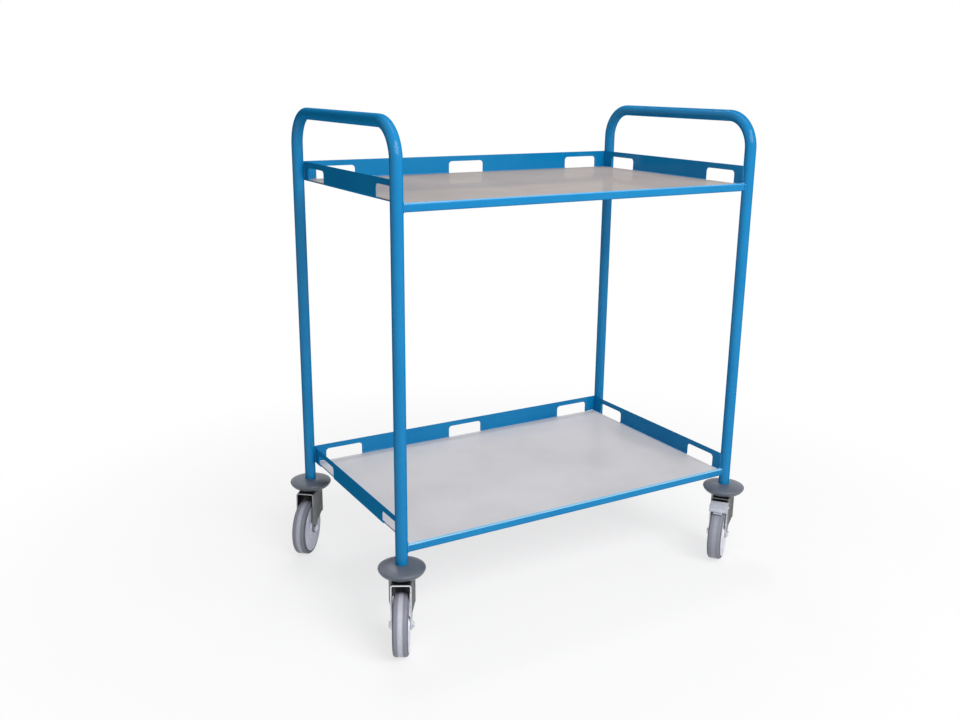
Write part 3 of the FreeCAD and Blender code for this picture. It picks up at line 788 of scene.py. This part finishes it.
@dataclass
class Tray:
    """One shelf: rims, front rail, board and stiffeners, with softened sheet edges."""

    level: Level
    finishes: Finishes
    sheet_rounding: float = 0.35 * MM
    rail_rounding: float = 0.3 * MM
    board_rounding: float = 0.4 * MM
    highlight_depth: float = 4.5 * MM
    highlight_slope: float = 0.5
    # Painted highlight: pale blue colours for the rail's upper edge, one pair for each shelf.
    painted_highlight: ClassVar[Dict[Level, Tuple[Colour, Colour]]] = {
        Level.LOWER: (paint(150, 206, 236), paint(118, 188, 226)),
        Level.UPPER: (paint(92, 172, 222), paint(70, 158, 212)),
    }

    def build(self) -> None:
        """Builds the tray's sheets."""
        name = self.level.value
        for piece in ("rear_rim", "left_rim", "right_rim"):
            self.sheet("%s_%s" % (name, piece), self.finishes.paint, Slot.PAINT, self.sheet_rounding)
        self.rail(name + "_front_rail")
        coat = self.finishes.lower_board if self.level is Level.LOWER else self.finishes.upper_board
        self.sheet(name + "_board", coat, Slot.BOARD, self.board_rounding)
        dress(name + "_stiffeners", self.finishes.paint)

    def rail(self, node: str) -> None:
        """Rounds the front rail and paints a pale highlight along its upper edge, paler on the lower shelf.

        Args:
            node: The CAD node that it starts from and stands for.
        """
        work = Workpiece(node + "_sheet").copy_node(node)
        work.round_off(work.corners(), self.rail_rounding)
        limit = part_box(node)[1].z - self.highlight_depth
        # The rail's upward faces near its top take the painted highlight colour.
        for face in work.bm.faces:
            if face.normal.z > self.highlight_slope and face.calc_center_median().z > limit:
                face.material_index = 1
        piece = work.finish(self.finishes.paint, FRAME_BODY, Slot.PAINT, [node])
        colour, thin = self.painted_highlight[self.level]
        piece.data.materials.append(PowderCoat(colour, thin, low_gloss=1.0).material(node + "_painted_highlight_edge"))

    def sheet(self, node: str, material: bpy.types.Material, slot: Slot, rounding: float) -> None:
        """Rounds a sheet piece's cut edges.

        Args:
            node: The CAD node that it starts from and stands for.
            material: Its finish.
            slot: The record's slot for that finish.
            rounding: The width of the rounding.
        """
        work = Workpiece(node + "_sheet").copy_node(node)
        work.round_off(work.corners(), rounding)
        work.finish(material, FRAME_BODY, slot, [node])


@dataclass
class WeldBeads:
    """The rippled weld beads that hold one tray to the four posts."""

    level: Level
    finishes: Finishes
    bead_radius: float = 2.0 * MM
    ripple: float = 1.3 * MM
    ripple_steps: int = 4
    least_steps: int = 8
    sides: int = 10
    crease: float = 80.0
    cap_size: float = 0.35
    valley_size: float = 0.80
    crest_rise: float = 0.20
    unevenness: float = 0.05
    end_size: float = 0.45
    end_growth: float = 4.0
    groove: float = 6.4 * MM
    proud: float = 0.7 * MM
    rim_foot: float = 6.0 * MM
    rim_head: float = 1.2 * MM
    rear_step: float = 0.4 * MM
    rail_back: float = 0.9 * MM
    rail_front: float = 0.3 * MM
    rail_corner: float = 1.5 * MM
    rail_lead: float = 0.6 * MM

    def build(self) -> None:
        """Lays every bead of this tray."""
        name = self.level.value
        work = Workpiece(name + "_weld_beads")
        wobble = random.Random(name)
        for start, goal in self.runs():
            self.bead(work, start, goal, wobble)
        bmesh.ops.recalc_face_normals(work.bm, faces=work.bm.faces)
        work.finish(self.finishes.weld_paint, FRAME_BODY, Slot.PAINT, crease=self.crease)

    def runs(self) -> List[Tuple[Vector, Vector]]:
        """Works out where each bead starts and ends.

        Returns:
            Pairs of points, for both ends of the tray.
        """
        name = self.level.value
        rail_low, rail_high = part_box(name + "_front_rail")
        rim_low, rim_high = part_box(name + "_right_rim")
        hoop_low, hoop_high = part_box("right_end_hoop")
        beside_post = hoop_high.y - (hoop_high.x - hoop_low.x) / 2 - self.groove
        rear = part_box(name + "_rear_rim")[1].y + self.rear_step
        foot = rim_low.z + self.rim_foot
        head = rim_high.z - self.rim_head
        front = rail_low.y - self.rail_front
        back = rail_high.y - self.rail_back
        lead = rail_low.y + self.rail_lead
        tail = rail_high.y - self.rail_corner
        ends = [
            ((beside_post, foot), (beside_post, head)),
            ((-beside_post, foot), (-beside_post, head)),
            ((rear, foot), (rear, head)),
            ((back, rail_high.z), (back, head)),
            ((front, rail_low.z + self.rail_corner), (front, rail_high.z - self.rail_corner)),
            ((lead, rail_high.z), (tail, rail_high.z)),
            ((lead, rail_low.z), (tail, rail_low.z)),
        ]
        runs = []
        for side in (-1, 1):
            x = side * (rim_high.x + self.proud)
            runs += [(Vector((x, *start)), Vector((x, *goal))) for start, goal in ends]
        return runs

    def bead(self, work: Workpiece, start: Vector, goal: Vector, wobble: random.Random) -> None:
        """Lays one bead as a ring carried along and swelled at each ripple.

        Args:
            work: The mesh to add it to.
            start: Where it starts.
            goal: Where it ends.
            wobble: The source of its unevenness.
        """
        run = goal - start
        turn = run.normalized().to_track_quat("Z", "X").to_matrix().to_4x4()
        count = max(self.least_steps, int(run.length / (self.ripple / self.ripple_steps)))
        made = bmesh.ops.create_circle(work.bm, segments=self.sides,
                                       radius=self.bead_radius * self.cap_size,
                                       matrix=Matrix.Translation(start) @ turn)
        ring = list(dict.fromkeys(edge for vert in made["verts"] for edge in vert.link_edges))
        bmesh.ops.contextual_create(work.bm, geom=ring)
        for index in range(1, count + 1):
            share = index / count
            wave = abs(math.sin(math.pi * index / self.ripple_steps))
            chance = wobble.uniform(-self.unevenness, self.unevenness)
            swell = self.valley_size + self.crest_rise * wave + chance
            taper = min(1.0, self.end_size + self.end_growth * min(share, 1 - share))
            made = bmesh.ops.extrude_edge_only(work.bm, edges=ring)
            verts = [item for item in made["geom"] if isinstance(item, bmesh.types.BMVert)]
            ring = [item for item in made["geom"] if isinstance(item, bmesh.types.BMEdge)
                    and item.verts[0] in verts and item.verts[1] in verts]
            middle = start + run * share
            old = sum((vert.co for vert in verts), Vector()) / len(verts)
            size = self.bead_radius * swell * taper / (verts[0].co - old).length
            bmesh.ops.translate(work.bm, verts=verts, vec=middle - old)
            bmesh.ops.scale(work.bm, verts=verts, vec=(size, size, size), space=Matrix.Translation(-middle))
        bmesh.ops.contextual_create(work.bm, geom=ring)


@dataclass
class Bumper:
    """A bowl-shaped bumper disc over a swivel head, turned in one piece."""

    post: Post
    rim: float = 48.48 * MM
    base_radius: float = 35.0 * MM
    hollow: float = 27.5 * MM
    bore: float = 5.05 * MM
    seat: float = 12.55 * MM
    collar: float = 16.0 * MM
    base: float = 152.0 * MM
    head_top: float = 161.0 * MM
    middle: float = 165.0 * MM
    seat_height: float = 168.0 * MM
    crown: float = 174.5 * MM
    belly_radius: float = 18.0 * MM
    edge_radius: float = 3.5 * MM
    edge_turn: float = 60.0
    dome_radius: float = 75.0 * MM
    base_rounding: float = 0.8 * MM
    hollow_rounding: float = 0.6 * MM
    seat_rounding: float = 0.5 * MM
    collar_rounding: float = 0.8 * MM
    belly_steps: int = 14
    edge_steps: int = 5
    dome_steps: int = 14
    round_steps: int = 96
    finish: MouldedPlastic = MouldedPlastic(paint(94, 99, 109), paint(108, 116, 129), 0.36)

    def build(self, place: Matrix) -> None:
        """Turns the disc and sets it under its post.

        Args:
            place: The foot of the post.
        """
        name = self.post.value + "_bumper"
        work = Workpiece(name + "_disc")
        outline = Outline(work, self.bore, self.head_top).line(self.hollow, self.head_top)
        outline.line(self.hollow, self.base).line(self.base_radius, self.base)
        outline.arc(self.rim, self.middle, self.belly_radius, self.belly_steps)
        turn = math.radians(self.edge_turn)
        edge_x = self.rim - self.edge_radius * (1 - math.cos(turn))
        edge_z = self.middle + self.edge_radius * math.sin(turn)
        outline.arc(edge_x, edge_z, self.edge_radius, self.edge_steps)
        outline.arc(self.collar, self.crown, self.dome_radius, self.dome_steps)
        outline.line(self.seat, self.crown).line(self.seat, self.seat_height)
        outline.line(self.bore, self.seat_height)
        outline.turn(self.round_steps)
        work.round_off(work.loop_at(self.base_radius, self.base), self.base_rounding, 3)
        work.round_off(work.loop_at(self.hollow, self.base), self.hollow_rounding)
        work.round_off(work.loop_at(self.seat, self.crown), self.seat_rounding)
        work.round_off(work.loop_at(self.collar, self.crown), self.collar_rounding, 3)
        work.move(place)
        work.finish(self.finish.material(name + "_plastic", place), FRAME_BODY, Slot.BUMPER, [name])


@dataclass
class Castor:
    """A swivel castor: pressed fork, axle bolt, hub, tyre and, on two of them, a brake pedal."""

    post: Post
    finishes: Finishes
    wheel_radius: float = 62.48 * MM
    tyre_bed: float = 54.5 * MM
    tread_half: float = 15.5 * MM
    shoulder: float = 6.0 * MM
    hub_bore: float = 7.1 * MM
    hub_boss: float = 15.0 * MM
    hub_half: float = 17.5 * MM
    hub_web: float = 14.0 * MM
    hub_bed: float = 49.45 * MM
    hub_rim: float = 54.45 * MM
    hub_draft: float = 1.0 * MM
    boss_rounding: float = 1.2 * MM
    boss_foot_rounding: float = 1.6 * MM
    bed_rounding: float = 0.9 * MM
    rim_rounding: float = 0.5 * MM
    mould_line: float = 0.4 * MM
    fork_half: float = 21.05 * MM
    axle_radius: float = 5.0 * MM
    head_across: float = 14.0 * MM
    head_height: float = 4.0 * MM
    axle_end: float = 1.5 * MM
    bolt_chamfer: float = 0.6 * MM
    head_chamfer: float = 0.7 * MM
    nut_chamfer: float = 1.6 * MM
    chamfer_height: float = 0.5 * MM
    fork_rounding: float = 0.35 * MM
    cut_reach: float = 25.0 * MM
    cut_slope: float = 0.8
    pedal_top: float = 144.0 * MM
    pedal_rounding: float = 0.45 * MM
    shoulder_steps: int = 8
    bolt_steps: int = 32
    hub_steps: int = 80
    tyre_steps: int = 128
    # Painted shade: the fork's zinc is darkened well below plated steel, to stand in for the dark
    # surroundings it reflects.
    shade_darkened_fork_zinc: ClassVar[ZincPlate] = ZincPlate(paint(100, 102, 104), paint(88, 90, 92), 0.42)
    pedal_zinc: ClassVar[ZincPlate] = ZincPlate(paint(198, 201, 209), paint(180, 183, 191))
    hub_plastic: ClassVar[MouldedPlastic] = MouldedPlastic(paint(226, 227, 239), paint(212, 213, 226), 0.42)
    cut_roughness: ClassVar[float] = 0.42
    cut_drop: ClassVar[int] = 26
    # Painted highlight: how strongly each wheel's tread shows the pale band.
    highlight_strength: ClassVar[Dict[Post, float]] = {
        Post.FRONT_LEFT: 1.0,
        Post.REAR_LEFT: 0.8,
        Post.FRONT_RIGHT: 0.25,
        Post.REAR_RIGHT: 0.6,
    }
    # Painted highlight: how bright each castor's cut fork edge is painted, following how that edge catches
    # the light.
    edge_highlight: ClassVar[Dict[Post, int]] = {
        Post.FRONT_LEFT: 232,
        Post.REAR_LEFT: 158,
        Post.FRONT_RIGHT: 225,
        Post.REAR_RIGHT: 200,
    }

    def __post_init__(self) -> None:
        """Reads the castor's place from the frame's joints."""
        joints = {joint["name"]: joint for joint in frame["joints"]}
        self.name = self.post.value
        pivot = Vector(joints[self.name + "_swivel"]["pos_m"])
        axle = Vector(joints[self.name + "_roll"]["pos_m"])
        trail = axle - pivot
        turn = Matrix.Rotation(math.atan2(trail.y, trail.x), 4, "Z")
        self.foot = Matrix.Translation((pivot.x, pivot.y, 0)) @ turn
        self.axle = Matrix.Translation(axle) @ turn
        self.braked = self.name + "_brake_press" in joints
        self.across = self.axle @ Matrix.Rotation(math.radians(-90), 4, "X")

    def build(self) -> None:
        """Builds the castor from its bumper down."""
        Bumper(self.post).build(self.foot)
        for piece, material in (
            ("tube_plug", self.finishes.plain_steel),
            ("stem_bolt", self.finishes.bright_zinc),
            ("swivel_head", self.finishes.dark_zinc),
            ("swivel_balls", self.finishes.plain_steel),
            ("axle_sleeve", self.finishes.plain_steel),
        ):
            dress("%s_%s" % (self.name, piece), material)
        self.fork()
        self.axle_bolt()
        self.hub()
        self.tyre()
        if self.braked:
            self.brake()

    def fork(self) -> None:
        """Softens the fork's pressed edges and colours the cut edge of its trailing side as bare zinc with
        a painted highlight.
        """
        node = self.name + "_fork"
        work = Workpiece(node + "_pressing").copy_node(node)
        work.round_off(work.corners(), self.fork_rounding)
        back = self.foot.inverted()
        for face in work.bm.faces:
            middle = back @ face.calc_center_median()
            trailing = (back.to_3x3() @ face.normal).x > self.cut_slope and middle.x > self.cut_reach
            if trailing and not (self.braked and middle.z > self.pedal_top):
                face.material_index = 1
        zinc = self.shade_darkened_fork_zinc.material(node + "_zinc", self.foot)
        # The cut edge's colour is bare zinc brightened by a painted highlight.
        highlight_level = self.edge_highlight[self.post]
        dull = highlight_level - self.cut_drop
        bright = paint(highlight_level, highlight_level + 1, highlight_level + 6)
        bare_and_highlit = ZincPlate(bright, paint(dull, dull + 1, dull + 8), self.cut_roughness)
        cut = bare_and_highlit.material(node + "_cut_edge_highlight", self.foot)
        piece = work.finish(zinc, self.name + "_castor", Slot.ZINC, [node])
        piece.data.materials.append(cut)

    def axle_bolt(self) -> None:
        """Builds the bolt with its chamfered head, and the lock nut with its collar."""
        node = self.name + "_axle_bolt"
        work = Workpiece(node + "_and_nut")
        end = self.fork_half + self.head_height + self.axle_end
        outline = Outline(work, 0.0, -self.fork_half).line(self.axle_radius, -self.fork_half)
        outline.line(self.axle_radius, end - self.bolt_chamfer)
        outline.line(self.axle_radius - self.bolt_chamfer, end).line(0.0, end)
        outline.turn(self.bolt_steps, closed=False)
        self.hexagon(work, -self.fork_half, -1, self.head_chamfer)
        self.hexagon(work, self.fork_half, 1, self.nut_chamfer)
        work.move(self.across)
        work.finish(self.finishes.bright_zinc, self.name + "_castor", Slot.ZINC, [node])

    def hexagon(self, work: Workpiece, height: float, way: int, inset: float) -> None:
        """Adds a hexagon with a raised, chamfered face.

        Args:
            work: The mesh to add it to.
            height: Where it starts along the axle.
            way: The side to which it stands.
            inset: How far in its chamfer reaches.
        """
        corner_radius = self.head_across / math.sqrt(3)
        made = bmesh.ops.create_circle(work.bm, cap_ends=True, segments=6, radius=corner_radius,
                                       matrix=Matrix.Translation((0, 0, height)))
        face = made["verts"][0].link_faces[0]
        made = bmesh.ops.extrude_face_region(work.bm, geom=[face])
        top = next(item for item in made["geom"] if isinstance(item, bmesh.types.BMFace))
        lift = way * (self.head_height - self.chamfer_height)
        bmesh.ops.translate(work.bm, verts=list(top.verts), vec=(0, 0, lift))
        bmesh.ops.inset_region(work.bm, faces=[top], thickness=inset, depth=0.0)
        bmesh.ops.translate(work.bm, verts=list(top.verts), vec=(0, 0, way * self.chamfer_height))
        bmesh.ops.recalc_face_normals(work.bm, faces=work.bm.faces)

    def hub(self) -> None:
        """Turns the dished hub."""
        node = self.name + "_hub"
        work = Workpiece(node + "_moulding")
        boss_foot = self.hub_boss + self.hub_draft
        rim_inside = self.hub_bed + self.hub_draft
        outline = Outline(work, self.hub_bore, -self.hub_half).line(self.hub_boss, -self.hub_half)
        outline.line(boss_foot, -self.hub_web).line(self.hub_bed, -self.hub_web)
        outline.line(rim_inside, -self.tread_half).line(self.hub_rim, -self.tread_half)
        outline.line(self.hub_rim, self.tread_half).line(rim_inside, self.tread_half)
        outline.line(self.hub_bed, self.hub_web).line(boss_foot, self.hub_web)
        outline.line(self.hub_boss, self.hub_half).line(self.hub_bore, self.hub_half)
        outline.turn(self.hub_steps)
        for side in (-1, 1):
            work.round_off(work.loop_at(self.hub_boss, side * self.hub_half), self.boss_rounding, 3)
            work.round_off(work.loop_at(boss_foot, side * self.hub_web), self.boss_foot_rounding, 3)
            work.round_off(work.loop_at(self.hub_bed, side * self.hub_web), self.bed_rounding, 3)
            work.round_off(work.loop_at(rim_inside, side * self.tread_half), self.rim_rounding)
        work.move(self.across)
        grey = self.hub_plastic.material(node + "_plastic", self.axle)
        work.finish(grey, self.name + "_wheel", Slot.HUB, [node])

    def tyre(self) -> None:
        """Turns the tyre, with a fine mould line at each side of the tread."""
        node = self.name + "_tyre"
        work = Workpiece(node + "_rubber")
        half, radius, line = self.tread_half, self.wheel_radius, self.mould_line
        flat = half - self.shoulder
        outline = Outline(work, self.tyre_bed, -half).line(radius - self.shoulder, -half)
        outline.arc(radius, -flat, self.shoulder, self.shoulder_steps)
        for middle in (3 * line - flat, flat - 3 * line):
            outline.line(radius, middle - line).line(radius - line, middle).line(radius, middle + line)
        outline.line(radius, flat)
        outline.arc(radius - self.shoulder, half, self.shoulder, self.shoulder_steps)
        outline.line(self.tyre_bed, half)
        outline.turn(self.tyre_steps)
        work.move(self.across)
        rubber = TyreRubber(highlight_strength=self.highlight_strength[self.post]).material(node + "_rubber", self.axle)
        work.finish(rubber, self.name + "_wheel", Slot.RUBBER, [node])

    def brake(self) -> None:
        """Softens the pedal's edges and dresses its pin."""
        node = self.name + "_brake_pedal"
        work = Workpiece(node + "_plate").copy_node(node)
        work.round_off(work.corners(), self.pedal_rounding, 3)
        zinc = self.pedal_zinc.material(node + "_zinc", self.foot)
        work.finish(zinc, self.name + "_brake", Slot.ZINC, [node])
        dress(self.name + "_brake_pin", self.finishes.bright_zinc)


@dataclass(frozen=True)
class Lamp:
    """A soft rectangular lamp, with its size in metres and its power in watts."""

    name: str
    place: Point
    aim: Point
    size: Span
    power: float

    def build(self) -> None:
        """Hangs the lamp and turns it to what it lights."""
        light = bpy.data.lights.new(self.name, "AREA")
        light.shape = "RECTANGLE"
        light.size, light.size_y = self.size
        light.energy = self.power
        holder = bpy.data.objects.new(self.name, light)
        turn = (Vector(self.aim) - Vector(self.place)).to_track_quat("-Z", "Y")
        holder.matrix_world = Matrix.Translation(self.place) @ turn.to_matrix().to_4x4()
        bpy.context.scene.collection.objects.link(holder)


@dataclass
class Studio:
    """The camera, the pale floor, the white surroundings and the lamps."""

    azimuth: float = -30.062
    elevation: float = 15.779
    roll: float = 0.496
    place: Point = (-1.2030, -1.8959, 1.1092)
    focal_pixels: float = 996.67
    image_width: float = 960.0
    sensor: float = 36.0
    ambient: float = 0.16
    floor_half: float = 30.0
    floor_grain: float = 0.4
    floor_roughness: float = 0.9
    floor_grey: Colour = (0.93, 0.93, 0.93, 1)
    floor_pale: Colour = (0.95, 0.95, 0.95, 1)
    near_white: float = 0.7
    white_range: Span = (0.5, 1.5)
    lamps: Tuple[Lamp, ...] = (
        Lamp("front_softbox", (0.2, -2.7, 2.5), (0.0, 0.0, 0.5), (2.2, 1.8), 88),
        Lamp("left_softbox", (-1.15, -2.0, 1.9), (0.0, 0.0, 0.6), (0.7, 0.7), 9),
        Lamp("overhead", (0.0, 0.1, 3.2), (0.0, 0.0, 0.0), (0.7, 2.4), 14),
        Lamp("rear_fill", (0.6, 2.0, 2.9), (0.0, 0.0, 0.6), (1.2, 1.0), 32),
    )

    def build(self) -> None:
        """Sets the stage."""
        bpy.context.scene.view_settings.view_transform = "Standard"
        self.camera()
        self.floor()
        self.surroundings()
        for lamp in self.lamps:
            lamp.build()

    def camera(self) -> None:
        """Puts the camera where the photograph was taken from."""
        turn, tilt, roll = (math.radians(angle) for angle in (self.azimuth, self.elevation, self.roll))
        ahead = Vector((-math.sin(turn) * math.cos(tilt), math.cos(turn) * math.cos(tilt), -math.sin(tilt)))
        right = ahead.cross(Vector((0, 0, 1))).normalized()
        up = right.cross(ahead)
        level = Matrix((right, up, -ahead)).transposed().to_4x4()
        camera = bpy.data.cameras.new("photo_camera")
        camera.sensor_width = self.sensor
        camera.lens = self.focal_pixels / self.image_width * self.sensor
        holder = bpy.data.objects.new("photo_camera", camera)
        holder.matrix_world = Matrix.Translation(self.place) @ level @ Matrix.Rotation(roll, 4, "Z")
        bpy.context.scene.collection.objects.link(holder)
        bpy.context.scene.camera = holder

    @staticmethod
    def seen(bench: Bench) -> Wire:
        """Tells the rays that show the background: camera, glossy and transmission rays.

        Args:
            bench: The node tree to read them in.

        Returns:
            1 for those rays and 0 for the others.
        """
        rays = [bench.add("ShaderNodeLightPath", output=name)
                for name in ("Is Camera Ray", "Is Glossy Ray", "Is Transmission Ray")]
        return bench.maths("MINIMUM", rays[0] + rays[1] + rays[2], 1.0)

    def floor(self) -> None:
        """Lays a pale floor that goes over into plain white away from the cart."""
        work = bmesh.new()
        bmesh.ops.create_grid(work, x_segments=2, y_segments=2, size=self.floor_half)
        mesh = bpy.data.meshes.new("studio_floor")
        work.to_mesh(mesh)
        work.free()
        material, bench = new_bench("studio_floor")
        here = bench.place()
        away = bench.add("ShaderNodeVectorMath", {"operation": "LENGTH"}, {0: here}, "Value")
        grain = bench.noise(here, self.floor_grain)
        matt = bench.add("ShaderNodeBsdfPrincipled", None, {
            "Base Color": bench.mix(grain, self.floor_grey, self.floor_pale),
            "Roughness": self.floor_roughness,
            "Specular IOR Level": 0.0,
        })
        white = bench.add("ShaderNodeEmission", None, {"Color": WHITE, "Strength": 1.0})
        white_share = self.near_white + bench.step(away, *self.white_range) * (1 - self.near_white)
        share = white_share * self.seen(bench)
        both = bench.add("ShaderNodeMixShader", None, {0: share, 1: matt, 2: white})
        bench.add("ShaderNodeOutputMaterial", None, {"Surface": both})
        mesh.materials.append(material)
        floor = bpy.data.objects.new("studio_floor", mesh)
        bpy.context.scene.collection.objects.link(floor)

    def surroundings(self) -> None:
        """Makes the surroundings white to look at and a soft grey as light."""
        world = bpy.data.worlds.new("studio")
        world.use_nodes = True
        bpy.context.scene.world = world
        bench = Bench(world.node_tree)
        soft = bench.add("ShaderNodeBackground", None, {"Color": WHITE, "Strength": self.ambient})
        white = bench.add("ShaderNodeBackground", None, {"Color": WHITE, "Strength": 1.0})
        both = bench.add("ShaderNodeMixShader", None, {0: self.seen(bench), 1: soft, 2: white})
        bench.add("ShaderNodeOutputWorld", None, {"Surface": both})


def main() -> None:
    """Builds the cart from its hoops to its castors, then the studio."""
    logging.basicConfig(level=logging.INFO, format="%(name)s %(message)s")
    finishes = Finishes.mix_all()
    EndHoops(finishes).build()
    for level in Level:
        Tray(level, finishes).build()
        WeldBeads(level, finishes).build()
    for post in Post:
        Castor(post, finishes).build()
    Studio().build()


if __name__ == "__main__":
    main()
